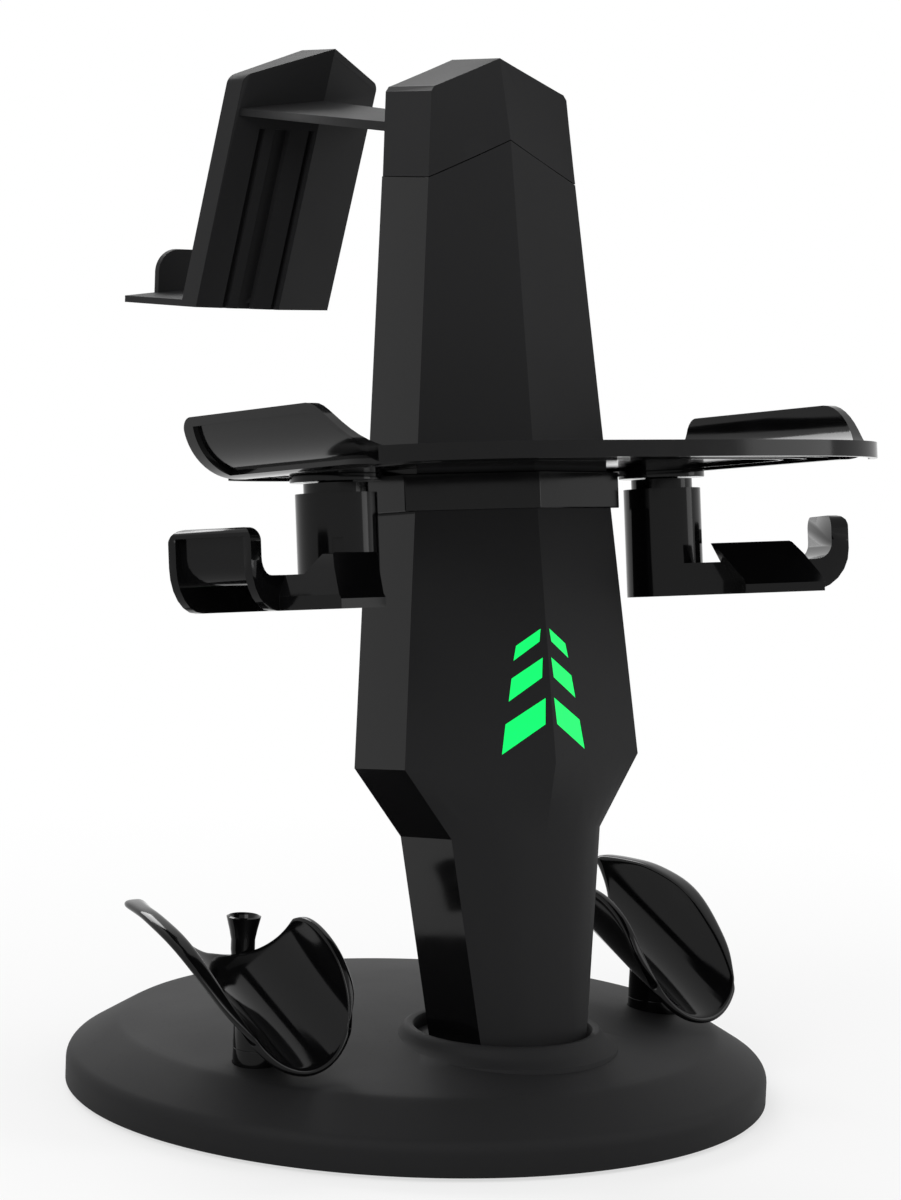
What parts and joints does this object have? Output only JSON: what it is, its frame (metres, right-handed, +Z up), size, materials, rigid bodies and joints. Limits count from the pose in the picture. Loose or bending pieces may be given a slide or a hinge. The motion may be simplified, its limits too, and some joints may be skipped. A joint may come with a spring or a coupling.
{
  "type": "virtual reality headset charging stand",
  "caption": "Leaning ridged column on a round domed base, with a headset shelf with curled ends, side hooks and cradles for hand controllers, and a strap hanger behind the top.",
  "frame": {"origin": "centre of the round base on the surface that the stand rests on", "axes": "+Z up, -Y to the front where the lights and the cradle mouths are, +X to the stand's right as seen from the front"},
  "size_m": [0.245, 0.2729, 0.3249],
  "materials": {
    "satin_black": "satin moulded plastic",
    "gloss_black": "polished moulded plastic",
    "green_light": "clear tinted light guide",
    "circuit_board": "solder mask",
    "steel": "plated",
    "bright_steel": "drawn shell",
    "black_rubber": "moulded"
  },
  "bodies": {
    "root": {"base_cover": "satin_black", "base_plate": "satin_black", "ballast_weight": "steel", "rubber_feet": "black_rubber", "base_screws": "steel", "charging_board": "circuit_board", "usb_inlet": "bright_steel", "column_foot_plate": "satin_black", "foot_screws": "steel", "column_body": "gloss_black", "column_front": "satin_black", "column_screws": "steel", "light_window": "green_light", "led_board": "circuit_board", "shelf_band": "gloss_black", "headset_shelf": "gloss_black", "left_pivot": "gloss_black", "right_pivot": "gloss_black", "left_holder": "gloss_black", "right_holder": "gloss_black", "pivot_screws": "steel", "left_post": "gloss_black", "right_post": "gloss_black", "left_cradle": "gloss_black", "right_cradle": "gloss_black", "post_screws": "steel", "strap_hanger": "satin_black", "hanger_screws": "steel"}
  },
  "joints": []
}
